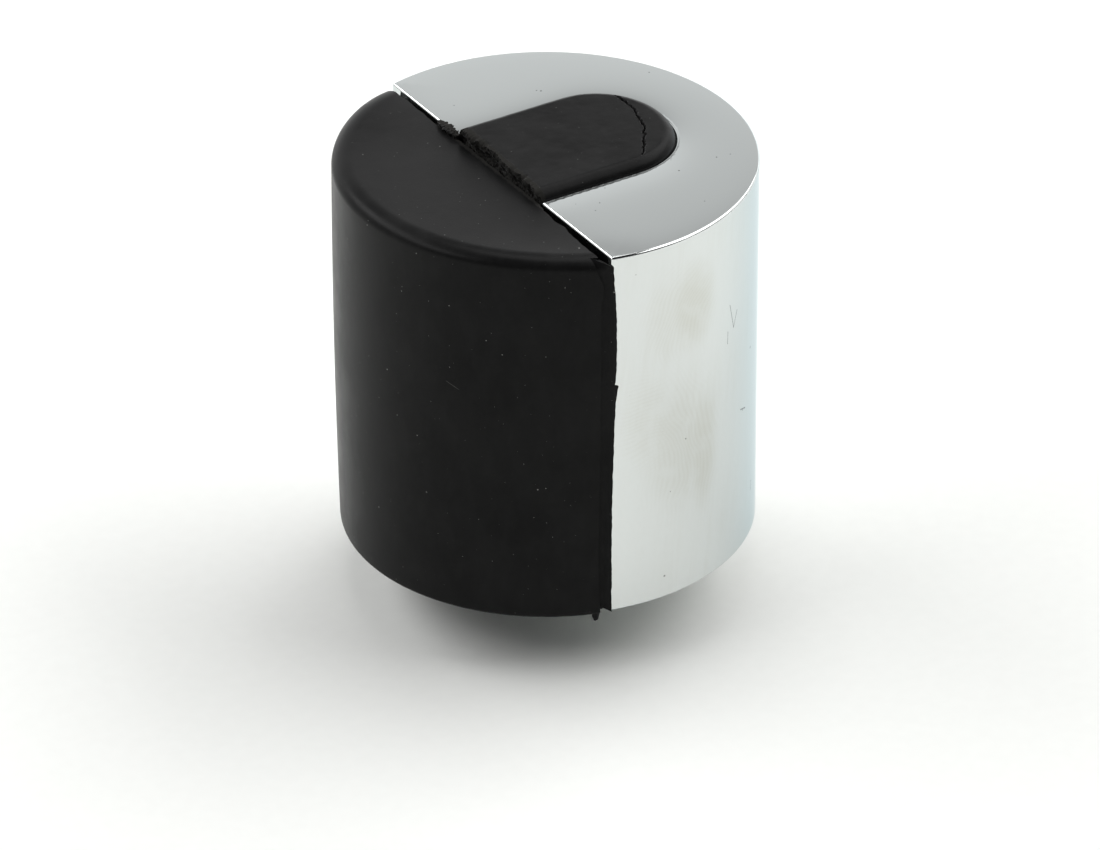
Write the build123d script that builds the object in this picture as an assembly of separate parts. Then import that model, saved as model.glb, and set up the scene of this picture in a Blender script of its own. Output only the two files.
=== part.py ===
from build123d import *
import os

# Cylindrical floor door stop: a chromed metal body with a flat across it, and a black rubber buffer
# that completes the cylinder and reaches into a slot in the body, over the head of the fixing screw.
# Millimetres. The origin is on the cylinder's axis at the end of the spigot, +Z is up, the rubber
# faces -X, where the door strikes, and the body lies on +X.

# Chromed body
body_diameter = 40.0
body_height = 38.4
flat_offset = 5.0           # from the cylinder's axis to the flat, towards the rubber
body_edge_radius = 0.25
seat_edge_chamfer = 0.2

# Slot in the body, open at the top and at the flat
slot_width = 14.4
slot_reach = 5.9            # from the cylinder's axis to the centre of the slot's round end
slot_floor_height = 8.0     # above the seat

# Fixing, on the centre of the slot's round end
spigot_diameter = 18.0
spigot_length = 6.5
spigot_chamfer = 0.6
screw_hole_diameter = 5.5
screw_head_diameter = 10.5
countersink_depth = 2.6

# Rubber buffer: the side of the cylinder that the door strikes
buffer_drop = 0.3           # its top lies this far under the body's top
buffer_foot_inset = 0.35    # the foot lies this far inside the body's outline
buffer_swell = 0.15         # the side swells this far outside the body's outline
buffer_swell_height = 23.0
buffer_top_outset = 0.1
buffer_top_radius = 1.4
buffer_foot_radius = 0.5
seam_clearance = 0.1        # between the buffer's flat back and the body
seam_gap = 0.35             # the back stands off this much further along the top of the seam
seam_gap_depth = 5.0
flash_width = 1.3           # thin strip of moulding flash beside the seam
flash_set_back = 0.2
flash_thickness = 0.7

# Rubber tongue: the arm of the buffer that fills the slot
tongue_clearance = 0.1
tongue_rise = 1.05          # its top stands this far above the body's top
tongue_edge_radius = 1.2
tear_run = 0.5              # torn face at the root of the tongue leans this far along X

# Levels and places that follow from the sizes above
body_radius = body_diameter / 2
seat_level = spigot_length
body_top_level = seat_level + body_height
slot_floor_level = seat_level + slot_floor_height
buffer_top_level = body_top_level - buffer_drop
tongue_top_level = body_top_level + tongue_rise
flat_x = -flat_offset
seam_x = flat_x - seam_clearance
beyond = body_diameter      # length of a cutting block that passes right through the part


def slot_prism(half_width, start_x, low, high):
    """Upright prism with a round end, from start_x to the centre of the slot's end and round it."""
    straight = Pos((start_x + slot_reach) / 2, 0) * Rectangle(slot_reach - start_x, 2 * half_width)
    outline = straight + Pos(slot_reach, 0) * Circle(half_width)
    return Pos(0, 0, low) * extrude(outline, high - low)


def block(low_x, high_x, low, high):
    """Cutting block between two upright planes, wider than the part."""
    middle = Pos((low_x + high_x) / 2, 0, (low + high) / 2)
    return middle * Box(high_x - low_x, beyond + body_diameter, high - low)


def tear_wedge():
    """Three-cornered cutting bar that leaves the torn face, from the buffer's top to the tongue's."""
    outline = Polyline(
        (flat_x, 0, tongue_top_level),
        (flat_x + tear_run, 0, tongue_top_level),
        (flat_x, 0, buffer_top_level),
        close=True,
    )
    return extrude(make_face(outline), beyond, both=True)


def fixing_hole():
    """Screw hole through the spigot, with a countersink in the floor of the slot."""
    hole_radius = screw_hole_diameter / 2
    with BuildPart() as hole:
        with BuildSketch(Plane.XZ):
            with BuildLine():
                Polyline(
                    (0, 0),
                    (hole_radius, 0),
                    (hole_radius, slot_floor_level - countersink_depth),
                    (screw_head_diameter / 2, slot_floor_level),
                    (0, slot_floor_level),
                    close=True,
                )
            make_face()
        revolve(axis=Axis.Z)
    return Pos(slot_reach, 0, 0) * hole.part


def chromed_body():
    """Cylinder cut by the flat and the slot, with a spigot under its seat."""
    body = Pos(0, 0, seat_level) * extrude(Circle(body_radius), body_height)
    body -= block(flat_x - beyond, flat_x, seat_level, body_top_level)
    body -= slot_prism(slot_width / 2, flat_x - beyond, slot_floor_level, body_top_level + beyond)
    body = fillet(body.edges().filter_by(GeomType.LINE).filter_by(Axis.Z), body_edge_radius)
    body = fillet(body.faces().sort_by(Axis.Z)[-1].outer_wire().edges(), body_edge_radius)
    body = chamfer(body.faces().sort_by(Axis.Z)[0].outer_wire().edges(), seat_edge_chamfer)
    spigot = extrude(Circle(spigot_diameter / 2), seat_level)
    spigot = chamfer(spigot.faces().sort_by(Axis.Z)[0].edges(), spigot_chamfer)
    return body + Pos(slot_reach, 0, 0) * spigot - fixing_hole()


def buffer_round(set_back):
    """Whole round of the buffer: a barrel-sided drum with a rolled top edge, set back from the strike side."""
    foot = (body_radius - buffer_foot_inset - set_back, seat_level)
    swell = (body_radius + buffer_swell - set_back, seat_level + buffer_swell_height)
    top = (body_radius + buffer_top_outset - set_back, buffer_top_level)
    with BuildPart() as drum:
        with BuildSketch(Plane.XZ) as profile:
            with BuildLine():
                ThreePointArc(foot, swell, top)
                Polyline(top, (0, buffer_top_level), (0, seat_level), foot)
            make_face()
            fillet(profile.vertices().group_by(Axis.Y)[-1].sort_by(Axis.X)[-1], buffer_top_radius)
            fillet(profile.vertices().group_by(Axis.Y)[0].sort_by(Axis.X)[-1], buffer_foot_radius)
        revolve(axis=Axis.Z)
    return drum.part


def rubber_tongue():
    """Arm that fills the slot, with rounded top edges and a torn face at its root."""
    half_width = slot_width / 2 - tongue_clearance
    tongue = slot_prism(half_width, flat_x, slot_floor_level, tongue_top_level)
    top_edges = tongue.faces().sort_by(Axis.Z)[-1].edges()
    tongue = fillet(top_edges.sort_by(Axis.X)[1:], tongue_edge_radius)
    return tongue - tear_wedge()


def rubber_buffer():
    """Buffer in one moulding: the struck side, the strip of flash at its seams, and the tongue."""
    strip_x = seam_x - flash_width
    struck_side = buffer_round(0) & block(strip_x - beyond, strip_x, 0, tongue_top_level)
    flash = buffer_round(flash_set_back) & block(strip_x, seam_x, 0, tongue_top_level)
    gap_x = seam_x - seam_gap
    gap = block(gap_x, seam_x, buffer_top_level - seam_gap_depth, buffer_top_level)
    gap &= buffer_round(flash_set_back + flash_thickness)
    neck = slot_prism(slot_width / 2 - tongue_clearance, gap_x, slot_floor_level, buffer_top_level)
    return struck_side + flash - gap + neck + rubber_tongue()


os.makedirs("parts", exist_ok=True)
export_step(chromed_body(), "parts/chromed_body.step")
export_step(rubber_buffer(), "parts/rubber_buffer.step")
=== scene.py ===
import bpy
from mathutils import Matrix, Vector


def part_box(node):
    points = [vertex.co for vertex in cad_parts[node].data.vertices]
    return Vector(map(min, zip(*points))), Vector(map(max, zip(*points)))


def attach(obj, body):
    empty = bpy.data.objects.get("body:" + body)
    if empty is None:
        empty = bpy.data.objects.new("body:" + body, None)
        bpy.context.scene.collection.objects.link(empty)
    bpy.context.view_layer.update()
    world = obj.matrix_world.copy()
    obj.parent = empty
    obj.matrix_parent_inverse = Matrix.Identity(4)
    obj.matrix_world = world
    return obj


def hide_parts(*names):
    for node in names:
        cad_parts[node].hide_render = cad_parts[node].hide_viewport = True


bl_info = {
    "name": "Cylindrical Door Stop",
    "version": (1, 0, 0),
    "blender": (4, 5, 0),
    "location": "View3D > Sidebar > Door Stop",
    "description": "Dresses the packed door stop with its chrome plate and rubber moulding, on a plain stage",
    "category": "Object",
}

import math

import bmesh
import bpy
from mathutils import Matrix, Vector, noise
from mathutils.geometry import delaunay_2d_cdt

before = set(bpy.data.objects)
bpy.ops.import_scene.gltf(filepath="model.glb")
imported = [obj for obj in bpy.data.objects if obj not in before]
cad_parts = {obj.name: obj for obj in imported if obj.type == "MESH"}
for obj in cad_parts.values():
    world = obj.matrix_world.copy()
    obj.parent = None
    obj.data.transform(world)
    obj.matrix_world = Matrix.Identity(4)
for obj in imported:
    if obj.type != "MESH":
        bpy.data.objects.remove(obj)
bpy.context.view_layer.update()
BODY_LOW, BODY_HIGH = (Vector(corner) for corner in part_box("chromed_body"))

MM = 0.001
ON_AXIS = 1e-7           # a radius under this is a point on the axis, in metres
OVERLAP = 1.0 * MM       # a spigot or cutter runs this far past the face that it joins or opens
LEAST_KEPT = {"UNION": 0.99, "DIFFERENCE": 0.3}    # share of its volume that a solid has to keep


# Settings


def number(name, description, default, **kind):
    return bpy.props.FloatProperty(name=name, description=description, default=default, **kind)


def length(name, description, default):
    return number(name, description, default, unit="LENGTH", precision=5)


def power(name, description, default):
    return number(name, description, default, unit="POWER")


def angle(name, description, degrees):
    return number(name, description, math.radians(degrees), subtype="ANGLE")


def colour(name, description, default):
    return bpy.props.FloatVectorProperty(
        name=name, description=description, default=default, size=3, subtype="COLOR", min=0.0, max=1.0
    )


class DoorStopSizes(bpy.types.PropertyGroup):
    """Sizes that the metal and the rubber share"""

    seat_level: length("Seat level", "Height of the seat above the table", 6.5 * MM)
    top_level: length("Top level", "Height of the chromed top above the table", BODY_HIGH.z)
    radius: length("Radius", "Radius of the chromed cylinder", BODY_HIGH.x)
    flat: length("Flat", "Distance of the chromed flat from the axis", -BODY_LOW.x)
    slot_radius: length("Slot radius", "Half the width of the slot that the tongue fills", 7.2 * MM)
    slot_reach: length("Slot reach", "From the axis to the centre of the slot's round end", 5.9 * MM)
    slot_floor: length("Slot floor", "Height of the slot's floor above the table", 14.5 * MM)


class DoorStopRubber(bpy.types.PropertyGroup):
    """Sizes and colours of the rubber moulding"""

    drop: length("Drop", "The struck side's top lies this far under the chrome", 0.3 * MM)
    foot_radius: length("Foot radius", "Radius of the struck side at the seat", 19.65 * MM)
    swell_radius: length("Swell radius", "Radius of the struck side where it swells most", 20.05 * MM)
    swell_height: length("Swell height", "Height above the seat where it swells most", 23.0 * MM)
    shoulder_radius: length("Shoulder radius", "Radius of the struck side at its top", 20.05 * MM)
    top_round: length("Top rounding", "Height of the rolled top edge of the struck side", 1.3 * MM)
    top_roll: length("Top roll", "Width of the rolled top edge of the struck side", 1.9 * MM)
    foot_round: length("Foot rounding", "Rounding of the struck side's lower edge", 0.45 * MM)
    foot_sag: length("Foot sag", "The soft foot hangs this far under the seat", 0.45 * MM)
    corner_lift: length("Corner lift", "The far top corner curls up this far", 0.32 * MM)
    top_dome: length("Top dome", "The struck side's top swells up this far away from the seam", 0.8 * MM)
    dome_width: length("Dome width", "How far from the seam the top takes to swell up", 3.5 * MM)
    seam_gap: length("Seam gap", "Open gap along the top of the seam", 0.45 * MM)
    seam_gap_depth: length("Seam gap depth", "Depth of the gap under the rubber's top", 5.0 * MM)
    strip_set_back: length("Flash set back", "The flash lies this far under the struck side", 0.2 * MM)
    strip_thickness: length("Flash thickness", "Thickness of the strip of flash", 0.8 * MM)
    tongue_rise: length("Tongue rise", "Height of the tongue over the chrome, at its middle", 1.05 * MM)
    tongue_tilt: number("Tongue tilt", "Rise of the tongue per length across it", 0.026)
    tongue_round: length("Tongue rounding", "Rounding of the tongue's top edges", 1.2 * MM)
    colour: colour("Rubber", "Colour of the clean rubber", (0.0055, 0.0055, 0.0056))
    bloom: colour("Bloom", "Colour where the rubber has gone dull", (0.0112, 0.0112, 0.0113))
    torn: colour("Torn", "Colour of the torn faces", (0.0210, 0.0205, 0.0190))
    dust: colour("Dust", "Colour of the dust in the rubber's pores", (0.30, 0.30, 0.29))


class DoorStopChrome(bpy.types.PropertyGroup):
    """Sizes and colours of the chromed metal"""

    edge_round: length("Edge rounding", "Rounding of the chromed edges", 0.25 * MM)
    seat_bevel: length("Seat bevel", "Bevel of the lower edge", 0.2 * MM)
    rim_roll: length("Rim roll", "Polishing drops the top this far at its outer edges", 0.012 * MM)
    slot_roll: length("Slot roll", "Polishing drops the top this far beside the slot", 0.040 * MM)
    corner_roll: length("Corner roll", "Polishing drops the near corner of the top this far", 0.018 * MM)
    roll_width: length("Roll width", "How far that drop reaches into the top", 1.6 * MM)
    spigot_radius: length("Spigot radius", "Radius of the spigot under the seat", 9.0 * MM)
    spigot_bevel: length("Spigot bevel", "Bevel of the spigot's end", 0.6 * MM)
    hole_radius: length("Hole radius", "Radius of the screw hole", 2.75 * MM)
    head_radius: length("Head radius", "Radius of the countersink", 5.25 * MM)
    head_depth: length("Head depth", "Depth of the countersink", 2.6 * MM)
    plate: colour("Plate", "Colour of the clean plate", (0.664, 0.686, 0.677))
    smudge: colour("Smudge", "Colour of the plate under finger grease", (0.545, 0.548, 0.500))
    mark: colour("Mark", "Colour of scratches and specks", (0.08, 0.08, 0.08))


class DoorStopStage(bpy.types.PropertyGroup):
    """Table, light and camera"""

    table: colour("Table", "Colour of the white table", (0.925, 0.935, 0.910))
    table_radius: length("Table radius", "Half the width of the table", 3.0)
    back_light: number("Back light", "Brightness of the back wall", 1.0)
    right_box: power("Right soft box", "Power of the soft box on the right", 8.3)
    left_box: power("Left soft box", "Power of the soft box on the left", 7.0)
    top_lamp: power("Top lamp", "Power of the lamp overhead", 1.7)
    lens: number("Lens", "Focal length", 320.95, unit="CAMERA")
    azimuth: angle("Azimuth", "Turn of the camera about the part", -32.11)
    elevation: angle("Elevation", "Height angle of the camera", 31.324)
    distance: length("Distance", "From the camera to the seat's centre", 0.93608)
    aim_right: length("Aim right", "Aim to the right of the seat's centre", 0.391 * MM)
    aim_up: length("Aim up", "Aim above the seat's centre", 7.585 * MM)


# Mesh helpers


def clamped(value):
    """Value held between 0 and 1."""
    return min(max(value, 0.0), 1.0)


def circle(steps):
    """Cosine and sine at even steps round a circle."""
    return [(math.cos(math.tau * k / steps), math.sin(math.tau * k / steps)) for k in range(steps)]


def quarter(steps):
    """Cosine and sine at even steps up a quarter of a circle."""
    angles = [math.radians(90.0 * k / steps) for k in range(steps + 1)]
    return [(math.cos(a), math.sin(a)) for a in angles]


def new_piece(name, build):
    """Object with a mesh that build fills through bmesh."""
    bm = bmesh.new()
    build(bm)
    bmesh.ops.recalc_face_normals(bm, faces=bm.faces)
    mesh = bpy.data.meshes.new(name)
    bm.to_mesh(mesh)
    bm.free()
    piece = bpy.data.objects.new(name, mesh)
    bpy.context.scene.collection.objects.link(piece)
    return piece


def bridge(bm, low, high):
    """Faces between two closed loops with as many points."""
    for k in range(len(low)):
        n = (k + 1) % len(low)
        bm.faces.new((low[k], low[n], high[n], high[k]))


def ring_piece(name, rings):
    """Piece with a skin over a row of closed rings of points, closed at its two ends."""
    def build(bm):
        loops = [[bm.verts.new(point) for point in ring] for ring in rings]
        for low, high in zip(loops, loops[1:]):
            bridge(bm, low, high)
        bm.faces.new(loops[0])
        bm.faces.new(loops[-1])

    return new_piece(name, build)


def skin_grid(bm, grid):
    """Skin rows of points, and give the loop of points round the edge."""
    for low, high in zip(grid, grid[1:]):
        for k in range(len(low) - 1):
            bm.faces.new((low[k], low[k + 1], high[k + 1], high[k]))
    return grid[0] + [row[-1] for row in grid[1:]] + grid[-1][-2::-1] + [row[0] for row in grid[-2:0:-1]]


def turn_profile(bm, profile, turns):
    """Solid of revolution from a profile that starts and ends on the axis."""
    ways = circle(turns)
    rings = []
    for radius, level in profile:
        if radius < ON_AXIS:
            rings.append([bm.verts.new((0.0, 0.0, level))])
        else:
            rings.append([bm.verts.new((radius * x, radius * y, level)) for x, y in ways])
    for low, high in zip(rings, rings[1:]):
        for k in range(turns):
            n = (k + 1) % turns
            corners = [low[k % len(low)], low[n % len(low)], high[n % len(high)], high[k % len(high)]]
            bm.faces.new(list(dict.fromkeys(corners)))


def volume(piece):
    """Volume inside a closed piece."""
    bm = bmesh.new()
    bm.from_mesh(piece.data)
    total = bm.calc_volume()
    bm.free()
    return total


def combine(target, tool, operation):
    """Boolean of two closed pieces, kept in the target's mesh. The tool is used up."""
    before = volume(target)
    boolean = target.modifiers.new("combine", "BOOLEAN")
    boolean.operation = operation
    boolean.solver = "EXACT"
    boolean.object = tool
    graph = bpy.context.evaluated_depsgraph_get()
    result = bpy.data.meshes.new_from_object(target.evaluated_get(graph))
    target.modifiers.clear()
    old, target.data = target.data, result
    bpy.data.meshes.remove(old)
    bpy.data.objects.remove(tool)
    if volume(target) < before * LEAST_KEPT[operation]:
        raise RuntimeError(f"{operation} lost the solid of {target.name}")


def smooth_by_angle(piece, degrees):
    """Smooth shading, with a crease where faces meet at more than an angle."""
    mesh = piece.data
    mesh.polygons.foreach_set("use_smooth", [True] * len(mesh.polygons))
    mesh.set_sharp_from_angle(angle=math.radians(degrees))


def read_table(table, at):
    """Straight-line reading of a table of (place, value) pairs."""
    if at <= table[0][0]:
        return table[0][1]
    for (a, low), (b, high) in zip(table, table[1:]):
        if at <= b:
            return low + (high - low) * (at - a) / (b - a)
    return table[-1][1]


def rough(x, y, z, size, octaves, seed):
    """Layered noise between about -1 and 1, with lumps of the given size."""
    shift = Vector((seed, seed * 1.7, -seed))
    falloff, spacing = 0.9, 2.1
    return noise.fractal(Vector((x, y, z)) / size + shift, falloff, spacing, octaves)


# Chromed body

# Steps along the stretches of its outline
SIDE_STEPS, CORNER_STEPS, FLAT_STEPS, SLOT_SIDE_STEPS, SLOT_END_STEPS = 400, 8, 20, 24, 140
# Steps up its rounded top edge, and round its spigot and screw hole
EDGE_STEPS, SPIGOT_STEPS, HOLE_STEPS = 8, 96, 64
# Near corner of the top, and how far the drop reaches there
NEAR_CORNER = (-5.0 * MM, -19.4 * MM)
CORNER_REACH = 2.6 * MM
CREASE_ANGLE = 30.0


def arc(centre, radius, start, end, count):
    """Points on an arc with their outward directions: angles in degrees, end left out."""
    points = []
    for k in range(count):
        a = math.radians(start + (end - start) * k / count)
        way = Vector((math.cos(a), math.sin(a)))
        points.append((Vector(centre) + radius * way, way))
    return points


def line(start, end, way, count):
    """Points on a straight edge with its outward direction, end left out."""
    start, end = Vector(start), Vector(end)
    return [(start.lerp(end, k / count), Vector(way)) for k in range(count)]


def body_outline(sizes, chrome):
    """Outline of the top, anticlockwise from the near corner: as far as the slot, round it, and after it."""
    r, f, x = sizes.radius, chrome.edge_round, -sizes.flat
    half, reach = sizes.slot_radius, sizes.slot_reach
    corner = Vector((x + f, math.sqrt((r - f) ** 2 - (x + f) ** 2)))
    turn = math.degrees(math.atan2(corner.y, corner.x))
    before = (
        arc((0, 0), r, -turn, turn, SIDE_STEPS)
        + arc(corner, f, turn, 180, CORNER_STEPS)
        + line((x, corner.y), (x, half + f), (-1, 0), FLAT_STEPS)
    )
    slot = (
        arc((x + f, half + f), f, 180, 270, CORNER_STEPS)
        + line((x + f, half), (reach, half), (0, -1), SLOT_SIDE_STEPS)
        + [(point, -way) for point, way in arc((reach, 0), half, 90, -90, SLOT_END_STEPS)]
        + line((reach, -half), (x + f, -half), (0, 1), SLOT_SIDE_STEPS)
        + arc((x + f, -half - f), f, 90, 180, CORNER_STEPS)
    )
    after = (
        line((x, -half - f), (x, -corner.y), (-1, 0), FLAT_STEPS)
        + arc((corner.x, -corner.y), f, 180, 360 - turn, CORNER_STEPS)
    )
    return before, slot, after


def edge_gaps(sizes, x, y):
    """Distance of a point of the top from its outer edge and from the slot."""
    reach, half = sizes.slot_reach, sizes.slot_radius
    slot = abs(y) - half if x <= reach else math.hypot(x - reach, y) - half
    return min(sizes.radius - math.hypot(x, y), x + sizes.flat), slot


def rolled_top(sizes, chrome, x, y):
    """Height of the polished top, which falls a little towards its edges."""
    rim, slot = (max(gap - chrome.edge_round, 0.0) / chrome.roll_width for gap in edge_gaps(sizes, x, y))
    corner = math.hypot(x - NEAR_CORNER[0], y - NEAR_CORNER[1]) / CORNER_REACH
    drop = chrome.rim_roll * math.exp(-rim) + chrome.slot_roll * math.exp(-slot)
    return sizes.top_level - drop - chrome.corner_roll * math.exp(-corner * corner)


def top_points(sizes, chrome, outline):
    """Points inside the polished top: rows of even triangles, and two rows that follow the edges."""
    edge = chrome.edge_round
    step, row_share = 0.45 * MM, 0.866
    clear_of_edge = edge + 0.08 * MM
    across = int(2 * sizes.radius / step)
    points = []
    for i in range(across + 1):
        for j in range(int(across / row_share) + 1):
            x = -sizes.radius + (i + 0.5 * (j % 2)) * step
            y = -sizes.radius + j * step * row_share
            if min(edge_gaps(sizes, x, y)) > edge + 0.3 * step:
                points.append(Vector((x, y)))
    for inset in (0.12 * MM, 0.3 * MM):
        points += [point - (edge + inset) * way for point, way in outline[::2]]
    return [point for point in points if min(edge_gaps(sizes, *point)) > clear_of_edge]


def chrome_shell(sizes, chrome):
    """Closed skin of the metal body above its seat."""
    before, slot, after = body_outline(sizes, chrome)
    outline = before + slot + after
    count, first, last = len(outline), len(before), len(before) + len(slot)
    edge, top = chrome.edge_round, sizes.top_level

    def ring(bm, points, inset, level):
        return [bm.verts.new((*(point - inset * way), level)) for point, way in points]

    def walls(bm):
        """Walls from the slot's floor to the rounded top edge: gives the lowest and the highest ring."""
        levels = (sizes.slot_floor, sizes.slot_floor + 0.1 * MM, top - edge - 0.03 * MM)
        rows = [ring(bm, outline, 0.0, level) for level in levels]
        for c, s in quarter(EDGE_STEPS):
            rows.append(ring(bm, outline, edge - edge * c, top - chrome.rim_roll - edge + edge * s))
        for low, high in zip(rows, rows[1:]):
            bridge(bm, low, high)
        return rows[0], rows[-1]

    def seat(bm, floor):
        """Floor of the slot, and the solid foot of the body under it."""
        bm.faces.new(floor[first:last + 1])
        foot = outline[:first + 1] + outline[last:]
        upper = ring(bm, foot, 0.0, sizes.seat_level + chrome.seat_bevel)
        lower = ring(bm, foot, chrome.seat_bevel, sizes.seat_level)
        bridge(bm, upper, floor[:first + 1] + floor[last:])
        bridge(bm, lower, upper)
        bm.faces.new(lower)

    def polished_top(bm, rim):
        """Fine triangles inside the rim, at the height of the polished curve."""
        inside_only, nearest = 1, 1e-9
        points, _, triangles, origins, _, _ = delaunay_2d_cdt(
            [v.co.xy for v in rim] + top_points(sizes, chrome, outline),
            [(k, (k + 1) % count) for k in range(count)], [list(range(count))], inside_only, nearest,
        )
        verts = []
        for point, origin in zip(points, origins):
            if origin and origin[0] < count:
                verts.append(rim[origin[0]])
            else:
                verts.append(bm.verts.new((*point, rolled_top(sizes, chrome, *point))))
        for triangle in triangles:
            bm.faces.new([verts[k] for k in triangle])

    def build(bm):
        floor, rim = walls(bm)
        seat(bm, floor)
        polished_top(bm, rim)

    return new_piece("chromed_skin", build)


def spigot_and_hole(sizes, chrome):
    """Spigot under the seat, and the cutter for its countersunk screw hole."""
    radius, bevel = chrome.spigot_radius, chrome.spigot_bevel
    inside = sizes.seat_level + OVERLAP
    spigot_profile = [(0.0, 0.0), (radius - bevel, 0.0), (radius, bevel), (radius, inside), (0.0, inside)]
    floor = sizes.slot_floor
    slope = (chrome.head_radius - chrome.hole_radius) / chrome.head_depth
    hole_profile = [
        (0.0, -OVERLAP), (chrome.hole_radius, -OVERLAP), (chrome.hole_radius, floor - chrome.head_depth),
        (chrome.head_radius + slope * OVERLAP, floor + OVERLAP), (0.0, floor + OVERLAP),
    ]
    spigot = new_piece("spigot", lambda bm: turn_profile(bm, spigot_profile, SPIGOT_STEPS))
    hole = new_piece("screw_hole", lambda bm: turn_profile(bm, hole_profile, HOLE_STEPS))
    for piece in (spigot, hole):
        for vertex in piece.data.vertices:
            vertex.co.x += sizes.slot_reach
    return spigot, hole


def polish_top(piece, sizes, chrome):
    """Give the top the exact normals of its polished curve, so that it mirrors without facets."""
    mesh = piece.data
    normals = [Vector(corner.vector) for corner in mesh.corner_normals]
    step = 0.01 * MM
    least_upright, deepest = 0.995, 0.09 * MM

    def slope(x, y, along_x, along_y):
        ahead = rolled_top(sizes, chrome, x + along_x, y + along_y)
        behind = rolled_top(sizes, chrome, x - along_x, y - along_y)
        return (ahead - behind) / (2 * step)

    for face in mesh.polygons:
        if face.normal.z < least_upright or face.center.z < sizes.top_level - deepest:
            continue
        for corner in face.loop_indices:
            x, y, _ = mesh.vertices[mesh.loops[corner].vertex_index].co
            normal = Vector((-slope(x, y, step, 0.0), -slope(x, y, 0.0, step), 1.0))
            normals[corner] = normal.normalized()
    mesh.normals_split_custom_set(normals)


# Rubber moulding

# Reach of the flash over the chrome's corner, by height above the seat: (height, reach) in millimetres
NEAR_FLASH = (
    (0.0, 0.03), (1.0, 0.04), (3.5, 0.05), (11.4, 0.07), (13.0, 0.10), (15.3, 0.13), (18.0, 0.21),
    (20.6, 0.26), (23.2, 0.40), (24.0, 0.48), (24.6, 0.57), (24.92, 0.66), (24.98, 0.52), (25.06, 0.28),
    (25.5, 0.33), (26.4, 0.42), (29.7, 0.48), (32.0, 0.45), (34.0, 0.38), (36.0, 0.24), (37.4, 0.18),
    (38.0, 0.16),
)
FAR_FLASH = ((0.0, -0.06), (38.0, -0.06))

# Depth of the flash's upper end under the rubber's top: (struck side, seam) in millimetres
NEAR_LEDGE = (0.10, 0.65)
FAR_LEDGE = (2.0, 2.1)

# Edge of the flash on the struck side, by height above the seat: (height, x) in millimetres
FLASH_EDGE = (
    (0.0, -5.72), (1.5, -5.85), (5.0, -6.03), (31.0, -6.0), (33.6, -5.95), (34.9, -5.75), (35.6, -5.8),
    (36.4, -6.1), (37.2, -6.4), (38.5, -6.5),
)

# Crack across the tongue near its tip: (x, y) in millimetres
TONGUE_CRACK = (
    (10.46, 4.95), (10.59, 3.74), (10.61, 2.37), (10.65, 1.21), (10.27, 0.10), (10.10, -0.69), (9.55, -1.91),
    (9.09, -2.97), (8.00, -4.51), (6.90, -6.05),
)

# Steps up the drum's profile, rings in its flat top and steps round it
FOOT_STEPS, BARREL_STEPS, ROLL_STEPS, TOP_RINGS, DRUM_STEPS = 6, 40, 18, 12, 240
# Upper ends of the rebates: the near one's height, clear above the part, and the far one's depth
NEAR_REBATE_END = 50.0 * MM
FAR_REBATE_DEPTH = 2.2 * MM
RUBBER_CREASE_ANGLE = 38.0


def barrel_radius(sizes, rubber, level):
    """Radius of the struck side at a height: a curve through foot, swell and shoulder."""
    points = (
        (sizes.seat_level, rubber.foot_radius),
        (sizes.seat_level + rubber.swell_height, rubber.swell_radius),
        (sizes.top_level - rubber.drop, rubber.shoulder_radius),
    )
    total = 0.0
    for i, (z_i, r_i) in enumerate(points):
        share = r_i
        for j, (z_j, _) in enumerate(points):
            if j != i:
                share *= (level - z_j) / (z_i - z_j)
        total += share
    return total


def drum_profile(sizes, rubber):
    """Half outline of the whole drum: foot rounding, barrel side, top rounding and flat top."""
    low, high = sizes.seat_level - rubber.foot_sag, sizes.top_level - rubber.drop
    foot, crown, roll = rubber.foot_round, rubber.top_round, rubber.top_roll
    underside_ring = 12.0 * MM
    profile = [(0.0, low), (underside_ring, low)]
    foot_radius = barrel_radius(sizes, rubber, low + foot)
    profile += [(foot_radius - foot + foot * s, low + foot - foot * c) for c, s in quarter(FOOT_STEPS)]
    for k in range(1, BARREL_STEPS):
        level = low + foot + (high - crown - low - foot) * k / BARREL_STEPS
        profile.append((barrel_radius(sizes, rubber, level), level))
    top_radius = barrel_radius(sizes, rubber, high - crown)
    profile += [(top_radius - roll + roll * c, high - crown + crown * s) for c, s in quarter(ROLL_STEPS)]
    inner = top_radius - roll - 0.15 * MM
    return profile + [(inner * k / TOP_RINGS, high) for k in range(TOP_RINGS, -1, -1)]


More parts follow.
